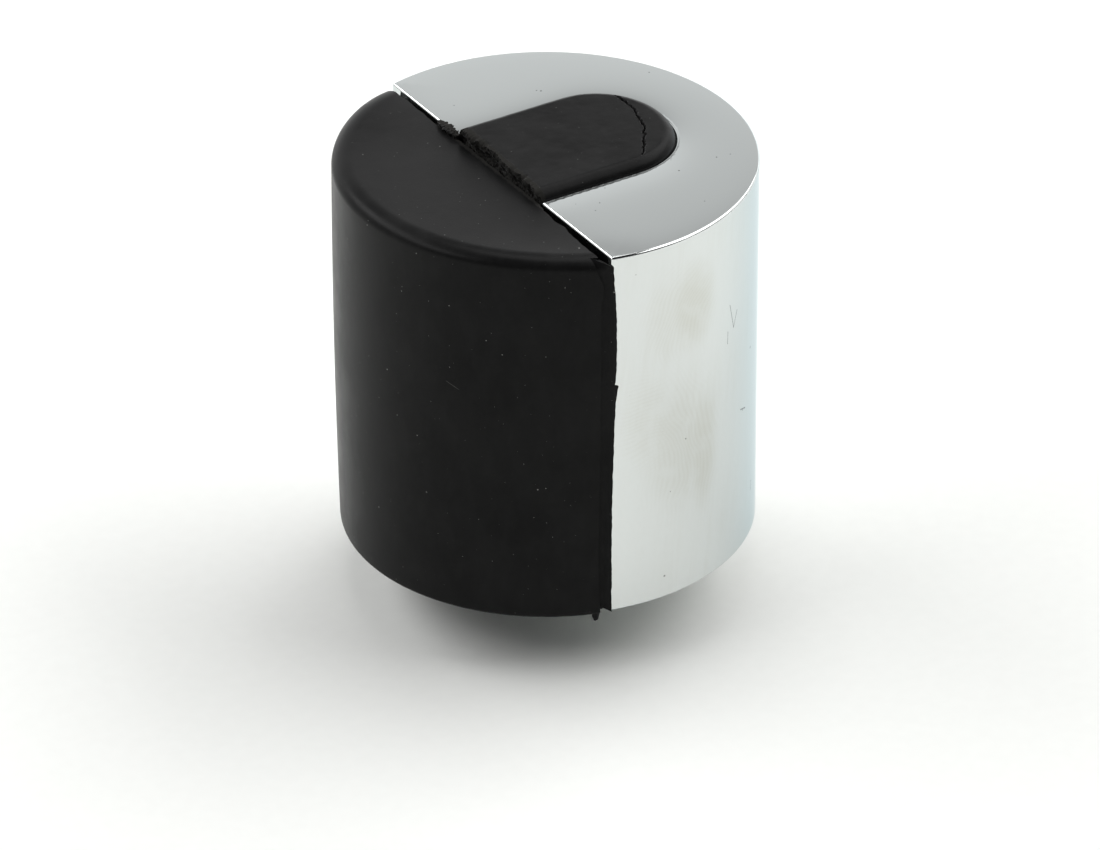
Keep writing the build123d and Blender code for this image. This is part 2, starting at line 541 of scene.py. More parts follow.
def seam_cutter(sizes, rubber):
    """Block with a wavy face that trims the moulding along the seam."""
    columns, rows = 170, 70
    half, low, high, behind = 0.026, 0.0, sizes.top_level + 0.004, 0.03
    lip_depth, gap_fade = 1.6 * MM, 1.5 * MM
    lump_y, lump_width = -12.2 * MM, 1.1 * MM
    far_start, far_run, far_depth = 15.0 * MM, 4.0 * MM, 6.0 * MM
    near_start, near_run, near_depth = 9.0 * MM, 5.0 * MM, 4.0 * MM
    wave, ragged, lump, far_opening, near_opening = 0.13, 0.17, 0.20, 0.55, 0.35    # millimetres
    tongue_half, tongue_fade, tongue_closing = 7.0 * MM, 1.5 * MM, 0.8

    def face_x(y, z):
        depth = sizes.top_level - rubber.drop - z
        lip = 1.0 - clamped(abs(depth) / lip_depth)
        far_end = clamped((y - far_start) / far_run) * (1.0 - clamped(depth / far_depth))
        near_end = clamped((-y - near_start) / near_run) * (1.0 - clamped(depth / near_depth))
        gap = rubber.seam_gap * (1.0 - clamped((depth - rubber.seam_gap_depth) / gap_fade))
        gap += (far_opening * far_end * far_end + near_opening * near_end) * MM
        beside_tongue = 1.0 - clamped((abs(y) - tongue_half) / tongue_fade)
        waves = wave * MM * rough(0.0, y, z * 0.3, size=4.0 * MM, octaves=2, seed=3.1) * (gap > 0)
        torn = lip * ragged * MM * rough(0.0, y, z, size=1.3 * MM, octaves=3, seed=7.7)
        bulge = lip * lump * MM * math.exp(-(((y - lump_y) / lump_width) ** 2))
        return -sizes.flat - (gap * (1.0 - tongue_closing * beside_tongue) + waves + torn) + bulge

    def build(bm):
        places = [-half + 2 * half * c / columns for c in range(columns + 1)]
        levels = [low + (high - low) * r / rows for r in range(rows + 1)]
        front = [[bm.verts.new((face_x(y, z), y, z)) for y in places] for z in levels]
        rim = skin_grid(bm, front)
        back = [bm.verts.new((behind, v.co.y, v.co.z)) for v in rim]
        bridge(bm, rim, back)
        bm.faces.new(back)

    return new_piece("seam_cutter", build)


def flash_edge(sizes, level):
    """Wandering edge of the flash on the struck side."""
    height = (level - sizes.seat_level) / MM
    wander = 0.05 * rough(0.0, 0.0, level, size=3.0 * MM, octaves=3, seed=1.3)
    return (read_table(FLASH_EDGE, height) + wander) * MM


def rebate_cutter(sizes, rubber, side, high):
    """Cutter for the rebate that the flash lies in, down one seam and up to a height."""
    low, end_x, outside = 5.0 * MM, -4.0 * MM, 24.0 * MM
    rows, steps = 89, 8

    def ring(z):
        edge = flash_edge(sizes, z)
        radius = barrel_radius(sizes, rubber, z) - rubber.strip_set_back - rubber.strip_thickness
        places = [edge + (end_x - edge) * k / steps for k in range(steps + 1)]
        points = [(x, side * math.sqrt(radius * radius - x * x), z) for x in places]
        return points + [(end_x, side * outside, z), (edge, side * outside, z)]

    return ring_piece("rebate_cutter", [ring(low + (high - low) * k / rows) for k in range(rows + 1)])


def crown_inset(rubber, depth):
    """How far the rolled top edge lies inside the barrel at a depth under the top."""
    short = 1.0 - clamped(depth / rubber.top_round)
    return rubber.top_roll * (1.0 - math.sqrt(1.0 - short * short))


def flash_strip(sizes, rubber, side, reach_table, ledge, seed):
    """Strip of flash down one seam: side is -1 for the near seam and 1 for the far one."""
    top = sizes.top_level - rubber.drop
    stations = (0.0, 0.1, 0.2, 0.35, 0.5, 0.65, 0.8, 0.9, 1.0)
    step, total = 0.25, reach_table[-1][0]
    even_heights = {step * k for k in range(int(total / step) + 1)}
    heights = sorted(even_heights | {height for height, _ in reach_table})
    ragged_edge, ragged_end, lumps = 0.05 * MM, 0.07 * MM, 0.05 * MM
    furrow, furrow_place, furrow_width = 0.22 * MM, 0.14, 0.07
    foot_inset, foot_height = 0.15 * MM, 0.9 * MM
    lap_start, lap_run, lap_rise = 0.35 * MM, 0.4 * MM, 0.10 * MM
    sunk, lap_backing = 0.1 * MM, 0.01 * MM

    def seam_edge(height):
        """Ragged edge of the strip towards the chrome."""
        reach = read_table(reach_table, height) * MM
        ragged = ragged_edge * rough(0.0, 0.0, height * MM, size=0.7 * MM, octaves=3, seed=seed)
        return -sizes.flat + reach + ragged * (1.0 if reach > 0 else 0.4)

    def place(height, edge, s):
        """X and Z of a point: s runs from the struck side (0) to the seam (1)."""
        high = top - (ledge[0] + (ledge[1] - ledge[0]) * s) * MM
        high += ragged_end * rough(s * MM, 0.0, 0.0, size=0.5 * MM, octaves=2, seed=seed + 5.0)
        low = sizes.seat_level + (0.22 - 0.20 * s) * MM
        z = low + (high - low) * height / total
        left = flash_edge(sizes, z) - 0.12 * MM
        return left + (edge - left) * s, z

    def lying_radius(x, z, s):
        """Radius of the strip's outer face where it lies on the rubber."""
        radius = barrel_radius(sizes, rubber, z) - rubber.strip_set_back * min(1.0, 0.2 + s / 0.3)
        radius += lumps * rough(x, 0.0, z, size=1.2 * MM, octaves=3, seed=seed + 2.0)
        radius -= furrow * math.exp(-(((s - furrow_place) / furrow_width) ** 2))
        radius -= crown_inset(rubber, top - z) * (1.0 - s)
        foot = 1.0 - clamped((z - sizes.seat_level) / foot_height)
        return radius - foot_inset * foot * foot

    def ring(height):
        edge = seam_edge(height)
        laps = edge > -sizes.flat

        def point(s, outer):
            x, z = place(height, edge, s)
            radius = lying_radius(x, z, s)
            over = clamped((x + sizes.flat + lap_start) / lap_run)
            if laps:
                radius += (max(radius, sizes.radius + lap_rise) - radius) * over
            if not outer:
                radius -= rubber.strip_thickness + sunk
                radius += (rubber.strip_thickness + lap_backing) * over * laps
            return x, side * math.sqrt(radius * radius - x * x), z

        return [point(s, True) for s in stations] + [point(s, False) for s in reversed(stations)]

    return ring_piece("flash_strip", [ring(height) for height in heights])


def lift_top(piece, sizes, rubber):
    """Swell the top of the struck side up beyond the seam, and curl up its far corner."""
    curl_start, curl_run = 6.0 * MM, 13.0 * MM
    lift_start, lift_run = 26.0 * MM, 18.0 * MM
    least_chord = 0.3 * MM
    for vertex in piece.data.vertices:
        x, y, z = vertex.co
        across = clamped((y - curl_start) / curl_run)
        up = clamped((z - lift_start) / lift_run)
        chord = max(math.sqrt(max(sizes.radius ** 2 - y ** 2, 0.0)) - sizes.flat, least_chord)
        outward = clamped((-sizes.flat - x) / chord)
        dome = rubber.top_dome * (1.0 - math.exp(-chord / rubber.dome_width)) * outward
        vertex.co.z += (rubber.corner_lift * across * across + dome) * up


def crack_depth(x, y):
    """Depth of the crack across the tongue at a point of its top, in metres."""
    wander, widest, narrowest, deepest = 0.25, 0.11, 0.04, 0.38 * MM
    sideways = [rough(x, y, 0.0, size=0.9 * MM, octaves=3, seed=seed) for seed in (4.4, 9.4)]
    point = Vector((x, y, 0.0)) / MM + wander * Vector((*sideways, 0.0))
    best, along = math.inf, 0.0
    for i, (a, b) in enumerate(zip(TONGUE_CRACK, TONGUE_CRACK[1:])):
        a, b = Vector((*a, 0.0)), Vector((*b, 0.0))
        t = clamped((point - a).dot(b - a) / (b - a).length_squared)
        gap = (point - a - t * (b - a)).length
        if gap < best:
            best, along = gap, (i + t) / (len(TONGUE_CRACK) - 1)
    width = widest * math.sin(math.pi * (0.12 + 0.8 * along)) + narrowest
    return deepest * max(0.0, 1.0 - best / width)


def tongue_shell(sizes, rubber):
    """Arm in the slot: torn face at its root, rounded top edges, a crack near its tip."""
    half = sizes.slot_radius - 0.03 * MM
    root, centre = -sizes.flat, sizes.slot_reach
    tip = centre + half - 0.004 * MM
    across, torn_rows, top_rows = 170, 36, 150
    torn_depth, nick_depth, torn_run = 2.2 * MM, 0.45 * MM, 0.6 * MM

    def top_level(y):
        return sizes.top_level + rubber.tongue_rise + rubber.tongue_tilt * y

    def half_width(x):
        return half if x <= centre else math.sqrt(max(half * half - (x - centre) ** 2, 0.0))

    def side_place(j):
        """Place across the tongue from -1 to 1, in steps that close up towards its edges."""
        v = -1.0 + 2.0 * j / across
        return math.sin(0.5 * math.pi * v) * 0.6 + 0.4 * v

    def edge_drop(x, y):
        """How far the rounded edge lies under the tongue's top: a little sharper on the far side."""
        r = rubber.tongue_round * (1.0 - 0.25 * (y > 0) * min(abs(y) / half, 1.0))
        inward = half - (abs(y) if x <= centre else math.hypot(x - centre, y))
        if inward >= r:
            return 0.0
        return r - math.sqrt(max(r * r - (r - max(inward, 0.0)) ** 2, 0.0))

    def torn_point(y, share):
        """Point of the torn face: share runs from its foot (0) to its upper edge (1)."""
        nick = max(0.0, rough(0.0, y, 0.0, size=0.9 * MM, octaves=4, seed=5.5))
        upper = top_level(y) - edge_drop(root, y) - nick_depth * nick - 0.05 * MM
        lower = sizes.top_level - torn_depth
        z = lower + (upper - lower) * share
        wander = 0.38 * MM * rough(0.0, y, 0.0, size=3.4 * MM, octaves=2, seed=2.2)
        coarse = 0.30 * rough(0.0, y, z * 0.6, size=0.9 * MM, octaves=4, seed=8.8)
        fine = 0.16 * rough(0.0, y, z, size=0.28 * MM, octaves=4, seed=6.1)
        undercut = 0.35 * MM * math.sin(math.pi * clamped((share - 0.35) / 0.5))
        crumbled = (coarse + fine) * MM * (1.0 - 0.3 * share)
        return root + 0.05 * MM + wander * share + undercut + crumbled, y, z

    def top_point(start, j, share):
        """Point of the top: share runs from the torn face (0) to the tip (1)."""
        x = start.x + (tip - start.x) * share
        y = half_width(x) * side_place(j)
        z = top_level(y) - edge_drop(x, y) - crack_depth(x, y)
        torn_edge = start.z - (top_level(start.y) - edge_drop(root, start.y))
        z += torn_edge * (1.0 - min(1.0, (x - start.x) / torn_run)) ** 2
        z += 0.015 * MM * rough(x, y, 0.0, size=2.5 * MM, octaves=3, seed=1.9)
        return x, y, z

    def build(bm):
        columns = range(across + 1)
        grid = [
            [bm.verts.new(torn_point(half * side_place(j), i / torn_rows)) for j in columns]
            for i in range(torn_rows + 1)
        ]
        starts = [v.co.copy() for v in grid[-1]]
        for i in range(1, top_rows + 1):
            share = 1.0 - (1.0 - i / top_rows) ** 1.6
            grid.append([bm.verts.new(top_point(starts[j], j, share)) for j in columns])
        rim = skin_grid(bm, grid)
        floor = [bm.verts.new((v.co.x, v.co.y, sizes.slot_floor)) for v in rim]
        bridge(bm, rim, floor)
        bm.faces.new(floor)

    return new_piece("rubber_tongue", build)


def torn_fringe(sizes):
    """Torn crumbs of rubber that lie over the chrome's edge beyond the slot's far corner."""
    start, run, middle_x, half_width, root_depth = 7.3, 3.5, -5.12, 0.46, 0.9    # millimetres
    crumb_height, spike_height, taper, ragged = 0.18, 0.75, 0.45, 0.8
    rows, points = 90, 18
    level = sizes.top_level + 0.10 * MM

    def ring(t):
        y = (start + run * t) * MM
        size = math.sin(math.pi * (0.03 + 0.95 * t)) ** 0.5
        spike = max(0.0, rough(0.0, y, 0.0, size=0.55 * MM, octaves=3, seed=2.6)) * spike_height
        height = (spike + crumb_height) * (1.0 - taper * t) * size
        corners = []
        for c, s in circle(points):
            wobble = 1.0 + ragged * rough(c * MM, y, s * MM, size=0.35 * MM, octaves=4, seed=5.2)
            x = middle_x + half_width * c * size * wobble
            z = (height if s > 0 else root_depth) * s * wobble
            corners.append((x * MM, y, level + z * MM))
        return corners

    return ring_piece("torn_fringe", [ring(k / rows) for k in range(rows + 1)])


def torn_tab(sizes):
    """Shred of flash that hangs under the near seam."""
    rows, points = 16, 14
    place_x, place_radius, rise, hang = -6.05, 19.25 * MM, 0.7, 1.75

    def ring(t):
        x = (place_x + 0.12 * t) * MM
        y = -math.sqrt(place_radius ** 2 - x * x)
        z = sizes.seat_level + (rise - hang * t) * MM
        ragged = 0.08 * rough(0.0, 0.0, z, size=0.5 * MM, octaves=3, seed=3.3)
        half = (0.48 - 0.22 * t * t + ragged) * MM
        thick = (0.40 - 0.18 * t) * MM
        corners = []
        for c, s in circle(points):
            wobble = 1.0 + 0.3 * rough(c * MM, 0.0, z, size=0.4 * MM, octaves=3, seed=1.1)
            corners.append((x + half * c * wobble, y + thick * s, z + 0.12 * MM * t * c))
        return corners

    return ring_piece("torn_tab", [ring(k / rows) for k in range(rows + 1)])


# Materials


class Nodes:
    """Short way to add and wire shader nodes."""

    def __init__(self, tree):
        self.tree = tree
        tree.nodes.clear()

    def add(self, kind, inputs=None, **settings):
        node = self.tree.nodes.new(kind)
        for key, value in settings.items():
            setattr(node, key, value)
        for key, value in (inputs or {}).items():
            self.put(node.inputs[key], value)
        return node

    def put(self, socket, value):
        if isinstance(value, bpy.types.NodeSocket):
            self.tree.links.new(value, socket)
        else:
            socket.default_value = value

    def math(self, operation, a, b=0.0, clamp=False):
        return self.add("ShaderNodeMath", {0: a, 1: b}, operation=operation, use_clamp=clamp).outputs[0]

    def times(self, a, b):
        return self.math("MULTIPLY", a, b)

    def plus(self, a, b, clamp=False):
        return self.math("ADD", a, b, clamp)

    def vector(self, operation, a, b=(0.0, 0.0, 0.0)):
        node = self.add("ShaderNodeVectorMath", {0: a, 1: b}, operation=operation)
        gives_number = operation in {"LENGTH", "DOT_PRODUCT", "DISTANCE"}
        return node.outputs["Value" if gives_number else "Vector"]

    def fade(self, value, low, high, to_low=0.0, to_high=1.0):
        """Smooth step of a value between two limits."""
        node = self.add(
            "ShaderNodeMapRange",
            {"Value": value, "From Min": low, "From Max": high, "To Min": to_low, "To Max": to_high},
            interpolation_type="SMOOTHSTEP",
        )
        return node.outputs["Result"]

    def mix(self, factor, a, b):
        """Mix of two colours, which are sockets 6 and 7 of the node."""
        return self.add("ShaderNodeMix", {0: factor, 6: a, 7: b}, data_type="RGBA").outputs[2]

    def noise(self, where, size, detail=3.0, roughness=0.5, distortion=0.0, output="Fac"):
        return self.add(
            "ShaderNodeTexNoise",
            {"Vector": where, "Scale": 1.0 / size, "Detail": detail, "Roughness": roughness,
             "Distortion": distortion},
        ).outputs[output]

    def most(self, values):
        total = values[0]
        for value in values[1:]:
            total = self.math("MAXIMUM", total, value)
        return total

    def patch(self, where, centre, size):
        """Soft round patch about a point, 1 at its middle: size gives its half axes."""
        offset = self.vector("SUBTRACT", where, centre)
        offset = self.vector("DIVIDE", offset, size)
        return self.fade(self.vector("LENGTH", offset), 1.0, 0.25)

    def stroke(self, where, start, end, width):
        """Thin line between two points of the surface."""
        start, end = Vector(start), Vector(end)
        run = end - start
        along = self.vector("DOT_PRODUCT", self.vector("SUBTRACT", where, start), run / run.length_squared)
        along = self.plus(along, 0.0, clamp=True)
        scaled = self.add("ShaderNodeVectorMath", {0: run, "Scale": along}, operation="SCALE")
        foot = self.vector("ADD", scaled.outputs[0], start)
        return self.fade(self.vector("DISTANCE", where, foot), width, 0.35 * width)

    def cells(self, where, size):
        """Scattered cells: distance from each one's middle, and three numbers of its own."""
        node = self.add("ShaderNodeTexVoronoi", {"Vector": where, "Scale": 1.0 / size})
        own = self.add("ShaderNodeSeparateColor", {0: node.outputs["Color"]})
        return node.outputs["Distance"], own.outputs

    def surface(self, inputs):
        """Principled shader wired to the material's output."""
        shader = self.add("ShaderNodeBsdfPrincipled", inputs)
        self.add("ShaderNodeOutputMaterial", {"Surface": shader.outputs[0]})


def opaque(value):
    return (*value, 1.0)


def millimetres(point):
    return [MM * c for c in point]


def new_material(name):
    """Material with its nodes and the place on the object that they read."""
    material = bpy.data.materials.new(name)
    material.use_nodes = True
    n = Nodes(material.node_tree)
    return material, n, n.add("ShaderNodeTexCoord").outputs["Object"]


# Finger presses on the side: (middle, half size, strength, centre of the ridges) in millimetres
PRESSES = (
    ((3.8, -19.6, 37.2), (3.8, 3.2, 6.0), 0.95, (10.5, -17.0, 33.0)),
    ((1.0, -19.95, 37.0), (3.4, 3.0, 5.6), 0.40, (10.5, -17.0, 33.0)),
    ((-1.4, -19.9, 26.4), (3.4, 3.0, 6.4), 0.30, (0.6, -20.0, 8.0)),
    ((5.2, -19.3, 21.3), (2.6, 3.0, 8.4), 0.85, (-14.0, -14.3, 19.0)),
    ((2.2, -19.85, 22.8), (4.6, 3.2, 9.0), 0.60, (-14.0, -14.3, 19.0)),
    ((17.0, 10.5, 30.0), (6.0, 6.0, 7.0), 0.7, (13.0, 15.0, 24.0)),
    ((4.0, 19.6, 27.0), (5.0, 4.0, 7.0), 0.7, (4.0, 19.6, 20.0)),
)
RIDGE_SPACING = 0.44 * MM
# Share of the grease in smears, in ridges and in wiped streaks
SMEAR_SHARE, RIDGE_SHARE, STREAK_SHARE = 0.58, 0.14, 0.15

# Short scratches in the plate: (start, end, width) in millimetres
SCRATCHES = (
    ((9.04, -17.84, 34.7), (9.68, -17.50, 32.0), 0.055),
    ((10.28, -17.16, 33.5), (9.68, -17.50, 31.9), 0.055),
    ((8.76, -17.98, 32.0), (8.70, -18.01, 30.7), 0.05),
    ((11.2, -16.57, 22.0), (12.1, -15.92, 21.6), 0.10),
    ((13.9, -14.4, 12.2), (13.8, -14.5, 11.2), 0.07),
)

# Specks on the plate's top and on its side: (place, radius) in millimetres
SPECKS = (
    ((6.1, 10.6, 44.9), 0.13), ((5.8, 10.9, 44.9), 0.09), ((9.45, -6.92, 44.9), 0.09),
    ((8.97, -9.05, 44.9), 0.12), ((13.3, -8.8, 44.9), 0.11), ((7.9, -15.1, 44.9), 0.08),
    ((1.4, -8.1, 44.9), 0.08), ((-0.5, -10.2, 44.9), 0.09), ((-1.6, -11.2, 44.9), 0.08),
    ((-2.5, -9.2, 44.9), 0.06), ((16.7, 8.2, 44.9), 0.09), ((-2.3, 12.6, 44.9), 0.08),
    ((14.7, -9.0, 44.9), 0.08), ((0.6, -19.99, 8.9), 0.15), ((3.0, -19.8, 23.1), 0.11),
    ((1.2, -19.96, 18.0), 0.08), ((13.2, -15.0, 27.4), 0.16), ((-3.2, -19.7, 29.8), 0.06),
    ((11.6, -16.3, 21.7), 0.14),
)

# Hair scratches in the rubber: (start, end, width) in millimetres
HAIRS = (
    ((-13.1, -0.6, 44.6), (-12.8, -1.9, 44.6), 0.05),
    ((-13.6, -1.6, 44.6), (-12.3, -1.8, 44.6), 0.05),
    ((-11.4, 8.9, 44.6), (-11.0, 8.2, 44.6), 0.04),
    ((-10.0, -17.3, 41.0), (-9.4, -17.7, 39.8), 0.05),
    ((-17.3, -10.2, 31.0), (-16.6, -11.3, 30.4), 0.05),
    ((7.0, 3.9, 46.0), (7.9, 3.4, 46.0), 0.05),
    ((-9.0, -9.0, 44.6), (-8.2, -10.6, 44.6), 0.04),
)

# Layers of dust in the rubber's pores: (cell, chance of a grain in it, largest grain) in millimetres
DUST_LAYERS = ((1.6, 0.40, 0.10), (0.8, 0.40, 0.06), (0.45, 0.40, 0.04))


def wiped_streaks(n, where):
    """Faint leaning streaks down the side, stronger in some places than in others."""
    height = n.add("ShaderNodeSeparateXYZ", {0: where}).outputs["Z"]
    lean = n.add("ShaderNodeCombineXYZ", {"X": n.times(height, -0.10)}).outputs[0]
    drawn_out = n.vector("MULTIPLY", n.vector("ADD", where, lean), (1.0, 1.0, 0.07))
    streak = n.fade(n.noise(drawn_out, 1.0 * MM, 4.0, 0.6, 0.3), 0.40, 0.72)
    below_top = n.fade(height, 44.7 * MM, 44.0 * MM)
    patchy = n.fade(n.noise(where, 7 * MM, 2.0), 0.40, 0.62, 0.25, 1.0)
    return n.times(n.times(streak, below_top), patchy)


def finger_marks(n, where):
    """Grease of the finger presses: the smears, and the lines of the ridges in them."""
    drift = n.noise(where, 2.2 * MM, 3.0)
    wander = n.vector("SUBTRACT", n.noise(where, 5.0 * MM, 1.0, output="Color"), (0.5, 0.5, 0.5))
    wander = n.vector("MULTIPLY", wander, millimetres((2.4, 2.4, 2.4)))
    smears, prints = [], []
    for middle, size, strength, centre in PRESSES:
        press = n.times(n.patch(where, millimetres(middle), millimetres(size)), strength)
        smears.append(n.times(press, n.fade(drift, 0.25, 0.60, 0.65, 1.0)))
        ring = n.vector("ADD", n.vector("SUBTRACT", where, millimetres(centre)), wander)
        ridge = n.math("SINE", n.times(n.vector("LENGTH", ring), math.tau / RIDGE_SPACING))
        edge = n.patch(where, millimetres(middle), millimetres([1.25 * c for c in size]))
        prints.append(n.times(edge, n.fade(ridge, -0.5, 0.7)))
    return n.most(smears), n.times(n.most(prints), n.fade(drift, 0.32, 0.5, 0.15, 1.0))


def plate_marks(n, where):
    """Scratches and specks in the plate, placed ones and a fine scatter."""
    marks = [n.stroke(where, millimetres(a), millimetres(b), width * MM) for a, b, width in SCRATCHES]
    for place, radius in SPECKS:
        gap = n.vector("DISTANCE", where, millimetres(place))
        marks.append(n.fade(gap, radius * MM, 0.4 * radius * MM))
    distance, own = n.cells(where, 2.6 * MM)
    speck = n.times(n.fade(distance, 0.035, 0.015), n.math("GREATER_THAN", own[0], 0.84))
    marks.append(n.times(speck, 0.5))
    return n.times(n.most(marks), n.fade(n.noise(where, 0.12 * MM, 2.0), 0.3, 0.5, 0.35, 0.9))


def chrome_material(chrome):
    """Mirror-bright plate with finger marks, wiped smears, fine scratches and specks."""
    material, n, where = new_material("chrome_plate")
    smear, ridges = finger_marks(n, where)
    mark = plate_marks(n, where)
    grease = n.plus(n.times(smear, SMEAR_SHARE), n.times(ridges, RIDGE_SHARE))
    grease = n.plus(grease, n.times(wiped_streaks(n, where), STREAK_SHARE), clamp=True)
    tint = n.mix(grease, opaque(chrome.plate), opaque(chrome.smudge))
    gloss = n.plus(n.times(grease, 0.12), 0.03)
    bump = n.add("ShaderNodeBump", {"Height": ridges, "Strength": 0.05, "Distance": 0.01 * MM})
    n.surface({
        "Base Color": n.mix(mark, tint, opaque(chrome.mark)),
        "Metallic": 1.0,
        "Roughness": n.plus(gloss, n.times(mark, 0.25), clamp=True),
        "Specular Tint": (0.74, 0.82, 0.86, 1.0),
        "Normal": bump.outputs["Normal"],
    })
    return material


def rubber_material(sizes, rubber):
    """Matt moulded rubber with a dull bloom, dust in its pores, hair scratches and raw torn faces."""
    material, n, where = new_material("black_rubber")
    place = n.add("ShaderNodeSeparateXYZ", {0: where}).outputs

    cloud = n.noise(where, 7 * MM, 4.0, 0.55)
    wiped = n.noise(n.vector("MULTIPLY", where, (1.0, 1.0, 0.5)), 1.6 * MM, 5.0, 0.6, 0.4)
    bloom = n.plus(n.times(n.fade(cloud, 0.3, 0.7), 0.6), n.times(n.fade(wiped, 0.35, 0.75), 0.4))

    def dust_layer(cell, chance, largest):
        distance, own = n.cells(where, cell * MM)
        grain = n.math("LESS_THAN", distance, n.times(own[1], largest / cell))
        grain = n.times(grain, n.math("GREATER_THAN", own[0], 1.0 - chance))
        return n.times(grain, n.fade(own[2], 0.0, 1.0, 0.08, 0.8))

    dust = n.most([dust_layer(*layer) for layer in DUST_LAYERS])
    hair = n.most([n.stroke(where, millimetres(a), millimetres(b), width * MM) for a, b, width in HAIRS])

    beside_root = n.math("ABSOLUTE", n.plus(place["X"], sizes.flat - 0.05 * MM))
    ragged = n.times(n.noise(where, 0.5 * MM, 3.0), 0.5 * MM)
    high_up = n.fade(place["Z"], sizes.top_level - 0.9 * MM, sizes.top_level - 0.5 * MM)
    raw = n.times(n.fade(n.plus(beside_root, ragged), 0.85 * MM, 0.60 * MM), high_up)

    tint = n.mix(bloom, opaque(rubber.colour), opaque(rubber.bloom))
    tint = n.mix(raw, tint, opaque(rubber.torn))
    pale = n.math("MAXIMUM", dust, n.times(hair, 0.16))
    grain = n.noise(where, 0.14 * MM, 4.0, 0.6)
    relief = n.plus(n.times(grain, 0.5), n.times(wiped, 0.6))
    bump = n.add("ShaderNodeBump", {"Height": relief, "Strength": 0.25, "Distance": 0.05 * MM})
    n.surface({
        "Base Color": n.mix(pale, tint, opaque(rubber.dust)),
        "Roughness": n.math("MAXIMUM", n.fade(bloom, 0.0, 1.0, 0.32, 0.42), raw),
        "Specular IOR Level": 0.07,
        "Sheen Weight": 0.12,
        "Sheen Roughness": 0.3,
        "Normal": bump.outputs["Normal"],
    })
    return material


def table_material(stage):
    """White paper table with a faint grain."""
    material, n, where = new_material("white_table")
    fleck = n.fade(n.noise(where, 1.5 * MM, 3.0), 0.2, 0.8, 0.985, 1.0)
    tint = n.mix(fleck, (0.0, 0.0, 0.0, 1.0), opaque(stage.table))
    n.surface({"Base Color": tint, "Roughness": 0.9, "Specular IOR Level": 0.05})
    return material


# Operators


class DOORSTOP_OT_chromed_body(bpy.types.Operator):
    """Build the metal body with its polished edges, and plate it"""

    bl_idname = "doorstop.chromed_body"
    bl_label = "Chromed Body"

    def execute(self, context):
        sizes, chrome = context.scene.door_stop_sizes, context.scene.door_stop_chrome
        body = chrome_shell(sizes, chrome)
        spigot, hole = spigot_and_hole(sizes, chrome)
        combine(body, spigot, "UNION")
        combine(body, hole, "DIFFERENCE")
        smooth_by_angle(body, CREASE_ANGLE)
        polish_top(body, sizes, chrome)
        body.data.materials.clear()
        body.data.materials.append(chrome_material(chrome))
        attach(body, "root")
        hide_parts("chromed_body")
        return {"FINISHED"}


class DOORSTOP_OT_rubber_buffer(bpy.types.Operator):
    """Build the rubber moulding: struck side, flash at its seams, torn tongue"""

    bl_idname = "doorstop.rubber_buffer"
    bl_label = "Rubber Buffer"

    def execute(self, context):
        sizes, rubber = context.scene.door_stop_sizes, context.scene.door_stop_rubber
        near, far = -1.0, 1.0
        far_end = sizes.top_level - FAR_REBATE_DEPTH
        profile = drum_profile(sizes, rubber)
        moulding = new_piece("rubber_moulding", lambda bm: turn_profile(bm, profile, DRUM_STEPS))
        combine(moulding, seam_cutter(sizes, rubber), "DIFFERENCE")
        combine(moulding, rebate_cutter(sizes, rubber, near, NEAR_REBATE_END), "DIFFERENCE")
        combine(moulding, rebate_cutter(sizes, rubber, far, far_end), "DIFFERENCE")
        combine(moulding, flash_strip(sizes, rubber, near, NEAR_FLASH, NEAR_LEDGE, seed=0.7), "UNION")
        combine(moulding, flash_strip(sizes, rubber, far, FAR_FLASH, FAR_LEDGE, seed=4.9), "UNION")
        lift_top(moulding, sizes, rubber)
        combine(moulding, tongue_shell(sizes, rubber), "UNION")
        combine(moulding, torn_fringe(sizes), "UNION")
        combine(moulding, torn_tab(sizes), "UNION")
        smooth_by_angle(moulding, RUBBER_CREASE_ANGLE)
        moulding.data.materials.clear()
        moulding.data.materials.append(rubber_material(sizes, rubber))
        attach(moulding, "root")
        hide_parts("rubber_buffer")
        return {"FINISHED"}


TABLE_SEGMENTS = 96

# Lamps one metre from the part: (name, setting of its power, turn from straight ahead to the right
# and height, both in degrees, width and depth in metres)
LAMPS = (
    ("soft_box_right", "right_box", 67.0, 47.0, (1.3, 0.68)),
    ("soft_box_left", "left_box", -86.0, 44.0, (1.3, 0.35)),
    ("top_lamp", "top_lamp", 0.0, 72.0, (0.4, 0.4)),
)

# Greys of the room from the level of the table to overhead: (height, grey)
ROOM_GREYS = (
    (0.0, 0.92), (0.44, 0.92), (0.470, 0.88), (0.488, 0.812), (0.497, 0.740), (0.506, 0.668),
    (0.520, 0.542), (0.540, 0.406), (0.574, 0.29), (1.0, 0.29),
)
ROOM_SLANT = 0.20        # the edge of the pale wall falls this much to the right
# Colours of the room behind the camera, low down and high up
NEAR_SIDE_LOW = (0.12, 0.12, 0.124, 1.0)
NEAR_SIDE_HIGH = (0.035, 0.035, 0.036, 1.0)


